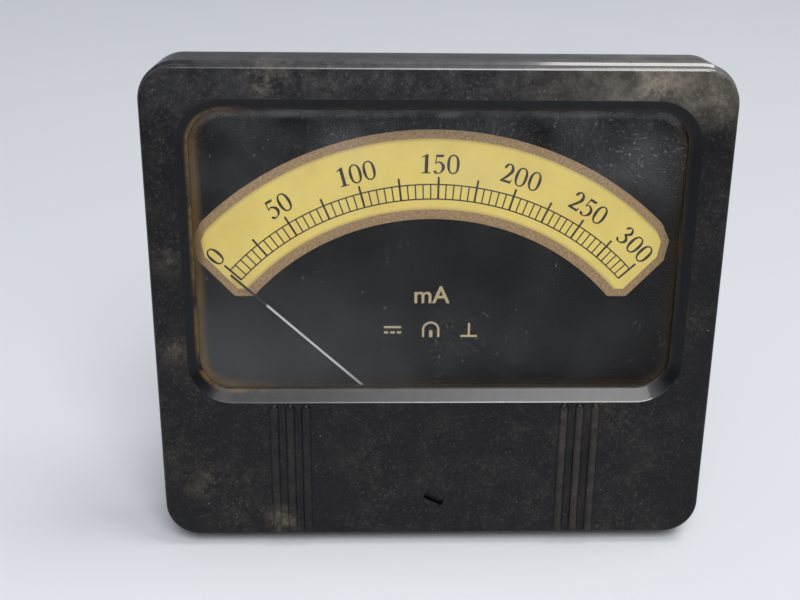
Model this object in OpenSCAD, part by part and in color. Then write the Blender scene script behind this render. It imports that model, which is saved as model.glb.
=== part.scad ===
// Rectangular moving-coil panel meter.
// X runs to the right of the face, Y from the face to the terminals, Z up.
// The origin is on the barrel's axis, in the plane that seats on the panel.

/* [Cover] */
// Width of the face
cover_w = 114.3; // [112:0.1:119]
// Height of the face
cover_h = 100; // [92:0.1:110]
// Depth of the cover in front of the panel
cover_d = 16; // [15.6:0.1:18]
// Wall of the cover
cover_wall = 3; // [2.7:0.1:3.2]
// Corner radius of the face
cover_r = 7.2; // [6.6:0.1:9]
// Height of the barrel's axis above the lower edge of the face
axis_rise = 38.6; // [38:0.1:39]
// Rounding of the front edge
edge_round = 0.8; // [0.4:0.1:1]
// How far the skirt stands out past the face
skirt_step = 0.5; // [0.3:0.05:0.8]
// Depth of the face part ahead of the skirt
face_d = 2.6; // [2:0.1:3.4]
// Rounding of the skirt's rear edge
rear_round = 1.4; // [0.4:0.1:1.8]

/* [Window] */
// Width of the clear opening
window_w = 97; // [90:0.1:97.2]
// Height of the clear opening
window_h = 58; // [52:0.1:64]
// Corner radius of the clear opening
window_r = 6.8; // [6:0.1:9]
// Height of the face above the clear opening
top_rail = 8.5; // [8:0.1:9.5]
// Width of the bevel round the opening
bevel_w = 2.4; // [1.6:0.1:2.6]
// Depth of that bevel
bevel_d = 1.8; // [1.4:0.1:2.1]
// Thickness of the lip in front of the glass
lip_t = 2.5; // [2.4:0.1:2.6]
// Thickness of the glass
glass_t = 2; // [1.6:0.1:2.4]
// How far the glass reaches past the opening
glass_lap = 3; // [2.4:0.1:3.2]
// Thickness of the gasket
gasket_t = 0.3; // [0.2:0.05:0.5]
// Thickness of the retainer frame
retainer_t = 0.6; // [0.4:0.1:0.8]

/* [Reeds] */
// Radius of one reed
reed_r = 1.1; // [0.9:0.05:1.3]
// How far a reed stands out of the face
reed_h = 0.6; // [0.4:0.05:0.8]
// Distance from reed to reed
reed_pitch = 3.3; // [2.8:0.1:3.6]
// Distance from the middle of the face to the middle reed
reed_offset = 30.2; // [26:0.1:34]
// Reeds in each group
reed_count = 3; // [2:1:4]

/* [Dial] */
// Depth of the dial behind the face
dial_depth = 7.5; // [7.2:0.1:8.2]
// Thickness of the dial
dial_t = 0.8; // [0.6:0.1:1]
// Gap between the dial and the cover's walls
dial_gap = 1.6; // [1:0.1:2]
// Lower edge of the dial below the barrel's axis
dial_drop = 15; // [14.8:0.1:16]
// Height of the pivot below the barrel's axis
pivot_drop = 20; // [19.6:0.1:20.2]
// Radius of the round bite in the dial at the pivot
bite_r = 10.4; // [10:0.1:10.6]
// Distance of the dial posts from the middle
post_x = 38; // [36:0.5:38.5]
// Radius of a dial post
post_r = 2.2; // [2:0.1:2.6]

/* [Pointer] */
// Length of the pointer from its axis to its tip
pointer_l = 56.8; // [52:0.1:58]
// Width of the needle
needle_w = 0.4; // [0.3:0.05:0.6]
// Thickness of the needle
needle_t = 0.3; // [0.2:0.05:0.4]
// Gap between the needle and the dial
needle_gap = 1.3; // [1:0.1:1.5]
// Angle of the whole scale
sweep = 95; // [86:1:96]
// Travel past each end of the scale
overtravel = 2.5; // [1.5:0.1:2.5]
// Distance of the stop pins from the pivot
stop_orbit = 12; // [11.8:0.1:12.4]

/* [Zero adjuster] */
// Radius of the adjuster's head
adjuster_r = 2.15; // [1.9:0.05:2.4]
// Height of the adjuster above the lower edge of the face
adjuster_rise = 8.5; // [8.2:0.1:8.8]
// Throw of the eccentric pin
adjuster_throw = 1.2; // [1:0.05:1.3]
// Width of the driver slot
slot_w = 1.5; // [1:0.1:1.7]
// Tilt of the driver slot
slot_tilt = 28; // [0:1:90]

/* [Barrel] */
// Radius of the barrel
barrel_r = 34.9; // [34.6:0.1:35.4]
// Wall of the barrel
barrel_wall = 2.5; // [2.2:0.1:2.6]
// Depth of the barrel behind the panel
barrel_d = 31; // [30.4:0.1:34]
// Rounding of the barrel's rear edge
barrel_round = 1.2; // [0.6:0.1:1.5]
// Thickness of the flange
flange_t = 3; // [2.8:0.1:3.2]
// Thickness of the barrel's rear wall
rear_t = 3; // [2.6:0.1:3.4]

/* [Mounting and terminals] */
// Distance between the mounting studs across
stud_span_x = 76.2; // [74:0.1:78]
// Distance between the mounting studs in height
stud_span_z = 57.2; // [55:0.1:58]
// Radius of a mounting stud
stud_r = 2.05; // [1.7:0.05:2.2]
// Length of a mounting stud behind the panel seat
stud_l = 19; // [14:0.5:24]
// Distance between the terminals
terminal_span = 31.8; // [30:0.1:33]
// Radius of a terminal stud
terminal_r = 3; // [2.4:0.1:3.2]
// Length of a terminal stud behind the barrel
terminal_l = 14; // [11:0.5:18]
// Size of the terminal nuts across flats
terminal_af = 9; // [8:0.1:9.6]
// Thickness of a terminal nut
terminal_nut_t = 2.5; // [2:0.1:3]

/* [Movement] */
// Length of the pole pieces
pole_l = 11; // [10.6:0.1:11.6]
// Height of the pole pieces
pole_h = 19; // [18.6:0.1:20]
// Half width over the pole pieces
pole_x = 17; // [16.6:0.1:17.2]
// Gap between the two poles, above and below the core
pole_split = 10.4; // [9.6:0.1:11]
// Width of the magnet's section
magnet_w = 9; // [8.4:0.1:9.4]
// Gap between the magnet and the barrel
magnet_gap = 1.4; // [1:0.1:1.6]
// Radius of the soft-iron core
core_r = 6.4; // [6.2:0.05:6.6]
// Width of the coil along its travel
coil_w = 5; // [4.6:0.1:5.2]
// Thickness of the winding
winding_t = 0.9; // [0.7:0.05:1]
// Thickness of the coil former
former_t = 0.3; // [0.2:0.05:0.35]
// Thickness of the movement plate
plate_t = 1.6; // [1.4:0.1:2]
// Length of the bridge posts
bridge_post_l = 8.3; // [8.1:0.1:8.6]
// Thickness of the bridges
bridge_t = 1.6; // [1.4:0.1:1.8]
// Radius of the pivots
pivot_r = 0.45; // [0.4:0.01:0.5]
// Radius of the jewel screws
jewel_r = 1.2; // [1.1:0.05:1.4]
// Thickness of a hairspring's strip
spring_t = 0.15; // [0.1:0.01:0.2]
// Distance between a hairspring's turns
spring_pitch = 0.8; // [0.6:0.02:0.84]

/* [Hidden] */
$fn = 64;

// Clearances
eps = 0.1;            // overrun of a cutting shape
slip = 0.05;          // screw or post in its hole
run = 0.08;           // turning part in its hole
free_gap = 0.4;       // moving part beside a fixed one
round_steps = 4;      // flats in a rounded edge

// Places along Y, from the face to the rear
face_y = -cover_d;
wall_y = face_y + cover_wall;
lip_y = face_y + lip_t;
glass_y0 = lip_y + gasket_t;
glass_y1 = glass_y0 + glass_t;
retainer_y1 = glass_y1 + retainer_t;
dial_y0 = face_y + dial_depth;
dial_y1 = dial_y0 + dial_t;
needle_y1 = dial_y0 - needle_gap;
needle_y0 = needle_y1 - needle_t;
rear_y = barrel_d - rear_t;
plate_y0 = pole_l;
plate_y1 = plate_y0 + plate_t;
front_bridge_y1 = -bridge_post_l;
front_bridge_y0 = front_bridge_y1 - bridge_t;
rear_bridge_y0 = plate_y1 + bridge_post_l;
rear_bridge_y1 = rear_bridge_y0 + bridge_t;

// Cover
cover_top = cover_h - axis_rise;
cover_mid = cover_h / 2 - axis_rise;
window_rise = cover_top - top_rail - window_h / 2;
cavity_w = cover_w + 2 * skirt_step - 2 * cover_wall;
cavity_h = cover_h + 2 * skirt_step - 2 * cover_wall;
cavity_r = cover_r + skirt_step - cover_wall;
glass_w = window_w + 2 * glass_lap;
glass_h = window_h + 2 * glass_lap;
glass_r = window_r + glass_lap / 2;
rebate_gap = 0.25;
reed_sink = reed_r - reed_h;
reed_gap = 0.1;
small_screw_r = 0.9;
small_head_r = 1.7;
small_head_t = 0.9;
screw_slot = 0.4;     // width of a screw's slot as a share of its head's radius
nut_crown = 1.03;     // radius of a nut's end faces as a share of half its size across flats
tip_share = 0.25;     // chamfer at a stud's end as a share of its radius
boss_r = 1.9;
boss_gap = 0.6;
boss_x = glass_w / 2 - glass_r + (glass_r + boss_gap + boss_r) * cos(45);
boss_z = glass_h / 2 - glass_r + (glass_r + boss_gap + boss_r) * sin(45);
boss_hole_l = 2.2;
retainer_rim = 0.6;
lug = 8.6;
lug_gap = 0.6;
lug_y0 = dial_y1 + lug_gap;
lug_x = cavity_w / 2 - lug / 2;
lug_z = cavity_h / 2 - lug / 2;
case_screw_r = 1.4;
case_head_r = 2.7;
case_head_t = 1.4;
case_sink = 1.6;
case_tip = 0.8;
flange_fit = 0.15;
flange_w = cavity_w - 2 * flange_fit;
flange_h = cavity_h - 2 * flange_fit;

// Dial
post_edge_high = 0.3;
post_edge_low = 0.8;
post_hole_stop = 1;
dial_screw_l = 2.4;

// Zero adjuster
adjuster_z = adjuster_rise - axis_rise;
pivot_z = -pivot_drop;
shaft_r = 1.2;
head_t = 1.5;
slot_d = 0.9;
washer_t = 0.5;
washer_r = 2.6;
crank_r = 1.95;
crank_t = 0.8;
pin_r = 0.6;
pin_over = 0.3;
fork_w = 2 * pin_r + 2 * free_gap;
fork_wall = 0.9;
fork_reach = 1.6;
pin_z = adjuster_z + adjuster_throw;
crank_y0 = wall_y + washer_t + run;
lever_t = 0.6;
lever_y0 = front_bridge_y1 + free_gap;
lever_y1 = lever_y0 + lever_t;
lever_ring_r = 2.6;
lever_arm_w = 2.4;

// Coil and core
core_over = 1;
core_y0 = -core_over;
core_y1 = pole_l + core_over;
coil_side_gap = 0.7;
coil_end_gap = 1.2;
former_in = core_r + coil_side_gap;
former_out = former_in + former_t;
coil_out = former_out + winding_t;
former_y0 = core_y0 - coil_end_gap - former_t;
former_y1 = core_y1 + coil_end_gap + former_t;
coil_y0 = former_y0 - winding_t;
coil_y1 = former_y1 + winding_t;
former_lip = 0.3;
former_w = coil_w + 2 * former_lip;
air_gap = 0.5;
pole_bore_r = norm([coil_out, coil_w / 2]) + air_gap;
plate_hole_gap = 1;
plate_hole_r = pole_bore_r + plate_hole_gap;
magnet_out = barrel_r - barrel_wall - magnet_gap;
magnet_in = magnet_out - magnet_w;
magnet_y0 = 1;
plate_inset = 0.5;
plate_r = magnet_out - plate_inset;
pole_trim = magnet_out;
bracket_w = 3.4;
bracket_y0 = 2;
bracket_rise = 6;
bracket_top = pivot_z + plate_hole_r + bracket_rise;
core_screw_r = 0.8;
core_head_t = 1;
pole_screw_l = 4;
core_screw_y = (bracket_y0 + pole_l - pole_screw_l) / 2;
pole_screw_r = 1;
pole_head_r = 1.7;
pole_head_t = 1.2;
pole_screw_high_in = 3.7;
pole_screw_low_in = 5.5;
pole_screw_up = 7;
pole_screw_down = 6.4;
bracket_screw_drop = 2.6;
bracket_screw_z = bracket_top - bracket_screw_drop;
boss_post_r = 3.2;
boss_post_x = 23;
boss_post_z = 12;
boss_post_top = 26;
plate_screw_r = 1.45;
plate_head_r = 2.8;
plate_head_t = 1.6;
plate_sink = 1.8;
plate_screw_tip = 0.2;
bridge_post_x = 13;
bridge_post_r = 2;
bridge_h = 6;
bridge_screw_r = 1;
bridge_head_r = 1.8;
bridge_head_t = 1;
bridge_screw_l = 3;

// Pivots, springs and balance
jewel_out = 1.7;
jewel_in = 1.3;
jewel_bore_l = 1.4;
jewel_slot_w = 0.5;
jewel_slot_d = 0.6;
jewel_nut_af = 4.4;
jewel_nut_t = 1.2;
jewel_front_y = front_bridge_y1 + jewel_in;
jewel_rear_y = rear_bridge_y0 - jewel_in;
pivot_play = 0.2;
pivot_foot_r = 1.6;
pivot_foot_t = 0.4;
collet_r = 1.2;
collet_l = 0.8;
spring_w = 0.6;
spring_r = collet_r + run + spring_t / 2;
spring_halves = 8;
spring_end = spring_pitch / 2 + spring_r + (spring_halves - 1) * spring_pitch / 2;
abutment_r = 0.4;
abutment_x = spring_end + spring_t / 2 + run + abutment_r;
abutment_over = 0.2;
front_spring_gap = 0.6;
front_spring_y = lever_y1 + front_spring_gap;
rear_spring_gap = 1.7;
rear_spring_y = coil_y1 + rear_spring_gap;
cross_t = 0.6;
cross_arm_w = 1;
cross_hub_r = 1.8;
cross_l = 1.7;
cross_y0 = coil_y0 - cross_l;
cross_up = 5;
cross_side = 6.6;
cross_tail = 10.6;
side_weight_r = 0.75;
side_weight_l = 1.5;
tail_weight_r = 1.1;
tail_weight_l = 2.3;
weight_tip = 0.3;
crank_orbit = 8.5;
crank_half = 0.4;
pointer_strip_w = 1;
pointer_strip_in = 1.5;
stop_r = 0.5;
stop_gap = 0.35;
stop_clear = 0.15;
stop_angle = sweep / 2 + overtravel + asin((stop_r + needle_w / 2 + stop_gap) / stop_orbit);
rest_turn = -sweep / 2;

// Terminals and leads
terminal_head_y = rear_y - terminal_nut_t;
shunt_t = 0.6;
shunt_w = 8;
shunt_over = 4.5;
shunt_y0 = terminal_head_y - shunt_t;
terminal_washer_t = 0.8;
terminal_washer_r = 5;
terminal_end = 0.6;
terminal_in_y = shunt_y0 - terminal_nut_t - terminal_end;
stud_head_r = 4;
stud_head_t = 1.4;
stud_neck = 0.4;
wire_r = 0.5;
wire_lap = 0.25;
wire_hole_r = 1.1;
wire_x = 19.5;
wire_z = -3;
wire_bend = 3;

// Outlines are drawn in X and Z and given a depth along Y
module slab(y0, y1) {
    translate([0, y1, 0]) rotate([90, 0, 0]) linear_extrude(y1 - y0) children();
}

// Round bar along Y
module bar(r, y0, y1, x = 0, z = 0) {
    translate([x, y0, z]) rotate([-90, 0, 0]) cylinder(h = y1 - y0, r = r);
}

// Hexagonal nut blank along Y with its corners turned down at both ends
module hex_bar(across, y0, y1) {
    corner_r = across / sqrt(3);
    crown_r = nut_crown * across / 2;
    crown_t = (corner_r - crown_r) * tan(30);
    h = y1 - y0;
    translate([0, y0, 0]) rotate([-90, 0, 0]) intersection() {
        cylinder(h = h, r = corner_r, $fn = 6);
        rotate_extrude() polygon([[0, 0], [crown_r, 0], [corner_r, crown_t],
            [corner_r, h - crown_t], [crown_r, h], [0, h]]);
    }
}

// Round bar along Y with its rear end chamfered
module tipped_bar(r, y0, y1) {
    tip = r * tip_share;
    h = y1 - y0;
    translate([0, y0, 0]) rotate([-90, 0, 0])
        rotate_extrude() polygon([[0, 0], [r, 0], [r, h - tip], [r - tip, h], [0, h]]);
}

module round_rect(w, h, r) {
    square([w - 2 * r, h], center = true);
    square([w, h - 2 * r], center = true);
    for (sx = [-1, 1], sz = [-1, 1])
        translate([sx * (w / 2 - r), sz * (h / 2 - r)]) circle(r);
}

// Quarter circle of points about [x, y] that starts at the given angle
function round_over(x, y, r, start) =
    [for (i = [0:round_steps]) let (a = start + 90 * i / round_steps) [x + r * cos(a), y + r * sin(a)]];

// Rounded block whose edge follows a profile of [distance from the corner's centre, y] points.
// half_x and half_z are the distances of the corner centres from the middle.
module profiled_block(half_x, half_z, y0, y1, profile) {
    edge = concat([[0, y0]], profile, [[0, y1]]);
    translate([-half_x, y0, -half_z]) cube([2 * half_x, y1 - y0, 2 * half_z]);
    for (turn = [0, 90, 180, 270]) {
        sx = turn == 0 || turn == 270 ? 1 : -1;
        sz = turn == 0 || turn == 90 ? -1 : 1;
        translate([sx * half_x, 0, sz * half_z]) rotate([-90, 0, 0]) rotate([0, 0, turn])
            rotate_extrude(angle = 90) polygon(edge);
    }
    for (side = [0, 180]) {
        rotate([0, side, 0]) translate([half_x, 0, -half_z]) linear_extrude(2 * half_z) polygon(edge);
        rotate([0, side, 0]) translate([-half_x, 0, half_z]) rotate([0, -90, 180])
            linear_extrude(2 * half_x) mirror([0, 1]) polygon(edge);
    }
}

module at_corners(x, z) {
    for (sx = [-1, 1], sz = [-1, 1]) translate([sx * x, 0, sz * z]) children();
}

module at_pivot() {
    translate([0, 0, pivot_z]) children();
}

// The moving system is drawn with its pointer straight up and turned to the zero mark
module moving() {
    at_pivot() rotate([0, rest_turn, 0]) children();
}

// Screw along Y: the head lies on the side that dir points to
module screw(r, head_r, seat_y, head_t, length, dir = 1) {
    y_tip = seat_y - dir * length;
    y_top = seat_y + dir * head_t;
    difference() {
        union() {
            bar(r, min(seat_y, y_tip), max(seat_y, y_tip));
            bar(head_r, min(seat_y, y_top), max(seat_y, y_top));
        }
        translate([0, y_top, 0]) cube([3 * head_r, head_t, head_r * screw_slot], center = true);
    }
}

// Wire through a short list of points, its runs lapped a little where they meet
module wire(points) {
    last = len(points) - 2;
    for (i = [0:last]) {
        step = points[i + 1] - points[i];
        back = i == 0 ? 0 : wire_lap;
        ahead = i == last ? 0 : wire_lap;
        translate(points[i]) rotate([0, acos(step[2] / norm(step)), atan2(step[1], step[0])])
            translate([0, 0, -back]) cylinder(h = norm(step) + back + ahead, r = wire_r, $fn = 8);
    }
}

// One reed: a round bar with a domed top, half sunk in the face
module reed(top_z, bottom_z) {
    translate([0, face_y + reed_sink, bottom_z]) rotate_extrude() {
        square([reed_r, top_z - bottom_z - reed_r]);
        translate([0, top_z - bottom_z - reed_r]) intersection() {
            circle(reed_r);
            square(reed_r);
        }
    }
}

module window_cut() {
    run_out = bevel_w * (bevel_d + eps) / bevel_d;
    translate([0, 0, window_rise])
        profiled_block(window_w / 2 - window_r, window_h / 2 - window_r, face_y - eps, wall_y + eps, [
            [window_r + run_out, face_y - eps],
            [window_r, face_y + bevel_d],
            [window_r, wall_y + eps]
        ]);
}

module cover_shell() {
    skirt_r = cover_r + skirt_step;
    step_y = face_y + face_d;
    translate([0, 0, cover_mid])
        profiled_block(cover_w / 2 - cover_r, cover_h / 2 - cover_r, face_y, 0, concat(
            round_over(cover_r - edge_round, face_y + edge_round, edge_round, -90),
            [[cover_r, step_y], [skirt_r, step_y + skirt_step]],
            round_over(skirt_r - rear_round, -rear_round, rear_round, 0)
        ));
}

module front_cover() {
    reed_top = window_rise - window_h / 2 - bevel_w - reed_gap;
    reed_bottom = -axis_rise + edge_round;
    color("#1d1c1b") difference() {
        union() {
            difference() {
                cover_shell();
                translate([0, 0, cover_mid]) slab(wall_y, eps) round_rect(cavity_w, cavity_h, cavity_r);
            }
            translate([0, 0, window_rise]) at_corners(boss_x, boss_z) bar(boss_r, wall_y - eps, glass_y1);
            intersection() {
                cover_shell();
                translate([0, 0, cover_mid]) {
                    at_corners(lug_x, lug_z) translate([-lug / 2, lug_y0, -lug / 2])
                        cube([lug, -flange_t - lug_y0, lug]);
                    for (sx = [-1, 1]) translate([sx * lug_x - lug / 2, wall_y - eps, -lug_z - lug / 2])
                        cube([lug, -flange_t - wall_y + eps, lug]);
                }
            }
            for (side = [-1, 1], i = [0:reed_count - 1])
                translate([side * reed_offset + (i - (reed_count - 1) / 2) * reed_pitch, 0, 0])
                    reed(reed_top, reed_bottom);
        }
        window_cut();
        translate([0, 0, window_rise]) slab(lip_y, wall_y + eps)
            round_rect(glass_w + 2 * rebate_gap, glass_h + 2 * rebate_gap, glass_r + rebate_gap);
        translate([0, 0, window_rise]) at_corners(boss_x, boss_z)
            bar(small_screw_r + slip, glass_y1 - boss_hole_l - eps, glass_y1 + eps);
        translate([0, 0, cover_mid]) at_corners(lug_x, lug_z)
            bar(case_screw_r + slip, lug_y0 + case_tip - eps, 0);
        bar(adjuster_r + run, face_y - eps, face_y + head_t + run, 0, adjuster_z);
        bar(shaft_r + run, face_y, wall_y + eps, 0, adjuster_z);
    }
}

module glass_gasket() {
    color("#3a2a1e") translate([0, 0, window_rise]) slab(lip_y, glass_y0) difference() {
        round_rect(glass_w, glass_h, glass_r);
        round_rect(window_w + glass_lap, window_h + glass_lap, window_r);
    }
}

module window_glass() {
    color("#cfe3e8", 0.3) translate([0, 0, window_rise]) slab(glass_y0, glass_y1)
        round_rect(glass_w, glass_h, glass_r);
}

module glass_retainer() {
    color("#6f6f6c") translate([0, 0, window_rise]) difference() {
        union() {
            slab(glass_y1, retainer_y1) round_rect(glass_w, glass_h, glass_r);
            at_corners(boss_x, boss_z) bar(boss_r, glass_y1, retainer_y1);
            at_corners(boss_x - boss_r, boss_z - boss_r) translate([0, (glass_y1 + retainer_y1) / 2, 0])
                cube([2 * boss_r, retainer_t, 2 * boss_r], center = true);
        }
        slab(glass_y1 - eps, retainer_y1 + eps)
            round_rect(window_w + 2 * retainer_rim, window_h + 2 * retainer_rim, window_r);
        at_corners(boss_x, boss_z) bar(small_screw_r + slip, glass_y1 - eps, retainer_y1 + eps);
    }
}

module retainer_screws() {
    color("#8b8b88") translate([0, 0, window_rise]) at_corners(boss_x, boss_z)
        screw(small_screw_r, small_head_r, retainer_y1, small_head_t, retainer_t + boss_hole_l - eps);
}

module zero_adjuster() {
    color("#161616") translate([0, 0, adjuster_z]) difference() {
        union() {
            bar(adjuster_r, face_y, face_y + head_t);
            bar(shaft_r, face_y, crank_y0);
            bar(crank_r, crank_y0, crank_y0 + crank_t);
            bar(pin_r, crank_y0, lever_y1 + pin_over, 0, adjuster_throw);
        }
        rotate([0, slot_tilt, 0]) translate([0, face_y, 0])
            cube([3 * adjuster_r, 2 * slot_d, slot_w], center = true);
    }
}

module adjuster_washer() {
    color("#a58a4a") translate([0, 0, adjuster_z]) difference() {
        bar(washer_r, wall_y, wall_y + washer_t);
        bar(shaft_r + run, wall_y - eps, wall_y + washer_t + eps);
    }
}

module zero_lever() {
    fork_z = pin_z - pivot_z;
    color("#b08d3c") at_pivot() {
        slab(lever_y0, lever_y1) difference() {
            union() {
                circle(lever_ring_r);
                translate([-lever_arm_w / 2, fork_z + fork_reach])
                    square([lever_arm_w, -fork_z - fork_reach]);
                translate([-fork_w / 2 - fork_wall, fork_z - fork_reach])
                    square([fork_w + 2 * fork_wall, 3 * fork_reach]);
                translate([0, -abutment_r - slip])
                    square([abutment_x + 2 * abutment_r, 2 * abutment_r + 2 * slip]);
            }
            circle(jewel_r + run);
            translate([-fork_w / 2, fork_z - 2 * fork_reach]) square([fork_w, 3 * fork_reach]);
        }
        bar(abutment_r, lever_y1, front_spring_y + spring_w + abutment_over, abutment_x);
    }
}

module barrel() {
    rotate([-90, 0, 0]) rotate_extrude() polygon(concat(
        [[0, -flange_t / 2], [barrel_r, -flange_t / 2]],
        round_over(barrel_r - barrel_round, barrel_d - barrel_round, barrel_round, 0),
        [[0, barrel_d]]
    ));
}

module base() {
    color("#242322") difference() {
        union() {
            difference() {
                union() {
                    translate([0, 0, cover_mid]) slab(-flange_t, 0)
                        round_rect(flange_w, flange_h, cavity_r - flange_fit);
                    barrel();
                }
                bar(barrel_r - barrel_wall, -flange_t - eps, rear_y);
            }
            for (p = plate_screw_places()) bar(boss_post_r, plate_y1, rear_y + eps, p[0], p[1]);
        }
        for (p = plate_screw_places()) {
            bar(plate_screw_r + slip, plate_y1 - eps, barrel_d + eps, p[0], p[1]);
            bar(plate_head_r + slip, barrel_d - plate_sink, barrel_d + eps, p[0], p[1]);
        }
        translate([0, 0, cover_mid]) at_corners(lug_x, lug_z) {
            bar(case_screw_r + slip, -flange_t - eps, eps);
            bar(case_head_r + slip, -case_sink, eps);
        }
        at_corners(stud_span_x / 2, stud_span_z / 2) bar(stud_r + stud_neck + slip, -flange_t - eps, eps);
        for (side = [-1, 1]) bar(terminal_r + slip, rear_y - eps, barrel_d + eps, side * terminal_span / 2);
    }
}

function plate_screw_places() = [[-boss_post_x, boss_post_z], [boss_post_x, boss_post_z], [0, boss_post_top]];

module case_screws() {
    color("#55524c") translate([0, 0, cover_mid]) at_corners(lug_x, lug_z)
        screw(case_screw_r, case_head_r, -case_sink, case_head_t, -case_sink - lug_y0 - case_tip);
}

module mounting_studs() {
    color("#b4a26a") at_corners(stud_span_x / 2, stud_span_z / 2) {
        bar(stud_head_r, -flange_t - stud_head_t, -flange_t);
        bar(stud_r + stud_neck, -flange_t - eps, 0);
        tipped_bar(stud_r, -eps, stud_l);
    }
}

module terminal_studs() {
    color("#c2a24c") for (side = [-1, 1]) translate([side * terminal_span / 2, 0, 0])
        tipped_bar(terminal_r, terminal_in_y, barrel_d + terminal_l);
}

module terminal_nuts() {
    clamp_y = barrel_d + terminal_washer_t;
    wire_nut_y = clamp_y + terminal_nut_t + terminal_washer_t;
    inner_nut_y = shunt_y0 - terminal_nut_t;
    color("#c9ab57") for (side = [-1, 1], y = [inner_nut_y, terminal_head_y, clamp_y, wire_nut_y])
        translate([side * terminal_span / 2, 0, 0]) difference() {
            hex_bar(terminal_af, y, y + terminal_nut_t);
            bar(terminal_r + slip, y - eps, y + terminal_nut_t + eps);
        }
}

module terminal_washers() {
    outer_y = barrel_d + terminal_washer_t + terminal_nut_t;
    color("#b9a468") for (side = [-1, 1], y = [barrel_d, outer_y])
        translate([side * terminal_span / 2, 0, 0]) difference() {
            bar(terminal_washer_r, y, y + terminal_washer_t);
            bar(terminal_r + slip, y - eps, y + terminal_washer_t + eps);
        }
}

module shunt() {
    color("#9a7a52") difference() {
        slab(shunt_y0, terminal_head_y) square([terminal_span + 2 * shunt_over, shunt_w], center = true);
        for (side = [-1, 1])
            bar(terminal_r + slip, shunt_y0 - eps, terminal_head_y + eps, side * terminal_span / 2);
    }
}

module lead_wires() {
    shunt_end = terminal_span / 2 + shunt_over + wire_r + slip;
    bridge_end = bridge_post_x + bridge_h / 2 + wire_r;
    shunt_mid = (shunt_y0 + terminal_head_y) / 2;
    rear_mid = (rear_bridge_y0 + rear_bridge_y1) / 2;
    front_mid = (front_bridge_y0 + front_bridge_y1) / 2;
    turn_y = front_bridge_y1 + wire_bend;
    color("#7a2f22") {
        wire([
            [-shunt_end, shunt_mid, wire_z],
            [-shunt_end, rear_mid, wire_z - wire_bend],
            [-bridge_end, rear_mid, pivot_z]
        ]);
        wire([
            [shunt_end, shunt_mid, wire_z],
            [wire_x, plate_y1 + wire_bend, wire_z],
            [wire_x, turn_y, wire_z],
            [wire_x, turn_y, pivot_z],
            [bridge_end, front_mid, pivot_z]
        ]);
    }
}

module dial_plate() {
    dial_top = cover_top + skirt_step - cover_wall - dial_gap;
    dial_w = cavity_w - 2 * dial_gap;
    dial_h = dial_top + dial_drop;
    color("#141414") difference() {
        translate([0, 0, dial_top - dial_h / 2]) slab(dial_y0, dial_y1) round_rect(dial_w, dial_h, cavity_r);
        at_pivot() bar(bite_r, dial_y0 - eps, dial_y1 + eps);
        for (p = dial_post_places()) bar(small_screw_r + slip, dial_y0 - eps, dial_y1 + eps, p[0], p[1]);
        for (p = stop_places()) bar(stop_r + slip, dial_y0 - eps, dial_y1 + eps, p[0], p[1]);
    }
}

function dial_post_places() = let (
    high = cover_top + skirt_step - cover_wall - dial_gap - post_r - post_edge_high,
    low = -dial_drop + post_r + post_edge_low
) [[-post_x, low], [post_x, low], [-post_x, high], [post_x, high]];

function stop_places() = [for (side = [-1, 1])
    [side * stop_orbit * sin(stop_angle), pivot_z + stop_orbit * cos(stop_angle)]];

module dial_posts() {
    color("#b59a55") for (p = dial_post_places()) difference() {
        bar(post_r, dial_y1, -flange_t, p[0], p[1]);
        bar(small_screw_r + slip, dial_y1 - eps, -flange_t - post_hole_stop, p[0], p[1]);
    }
}

module dial_screws() {
    color("#23211f") for (p = dial_post_places()) translate([p[0], 0, p[1]])
        screw(small_screw_r, small_head_r, dial_y0, small_head_t, dial_t + dial_screw_l, -1);
}

module pointer_stops() {
    color("#8f8a80") for (p = stop_places()) bar(stop_r, retainer_y1 + stop_clear, dial_y1, p[0], p[1]);
}

module movement_plate() {
    color("#b3974e") difference() {
        bar(plate_r, plate_y0, plate_y1);
        at_pivot() bar(plate_hole_r, plate_y0 - eps, plate_y1 + eps);
        for (p = plate_screw_places()) bar(plate_screw_r + slip, plate_y0 - eps, plate_y1 + eps, p[0], p[1]);
        for (p = pole_screw_places()) bar(pole_screw_r + slip, plate_y0 - eps, plate_y1 + eps, p[0], p[1]);
        for (side = [-1, 1])
            bar(bridge_screw_r + slip, plate_y0 - eps, plate_y1 + eps, side * bridge_post_x, pivot_z);
        bar(wire_hole_r, plate_y0 - eps, plate_y1 + eps, wire_x, wire_z);
    }
}

function pole_screw_places() = concat(
    [for (side = [-1, 1]) [side * (pole_x - pole_screw_high_in), pivot_z + pole_screw_up]],
    [for (side = [-1, 1]) [side * (pole_x - pole_screw_low_in), pivot_z - pole_screw_down]],
    [[0, bracket_screw_z]]
);

module movement_screws() {
    color("#5c5953") for (p = plate_screw_places()) translate([p[0], 0, p[1]])
        screw(plate_screw_r, plate_head_r, barrel_d - plate_sink, plate_head_t,
            barrel_d - plate_sink - plate_y0 - plate_screw_tip);
}

module magnet() {
    color("#4d4b49") difference() {
        bar(magnet_out, magnet_y0, plate_y0);
        bar(magnet_in, magnet_y0 - eps, plate_y0 + eps);
        translate([-pole_x, magnet_y0 - eps, -2 * magnet_out])
            cube([2 * pole_x, pole_l, 2 * magnet_out]);
    }
}

module pole_piece(side) {
    difference() {
        intersection() {
            translate([side > 0 ? pole_split / 2 : -pole_x, 0, pivot_z - pole_h / 2])
                cube([pole_x - pole_split / 2, pole_l, pole_h]);
            bar(pole_trim, 0, pole_l);
        }
        at_pivot() bar(pole_bore_r, -eps, pole_l + eps);
        for (p = pole_screw_places())
            bar(pole_screw_r + slip, pole_l - pole_screw_l - eps, pole_l + eps, p[0], p[1]);
        bar(bridge_screw_r + slip, -eps, bridge_screw_l, side * bridge_post_x, pivot_z);
    }
}

module pole_piece_left() {
    color("#777470") pole_piece(-1);
}

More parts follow.
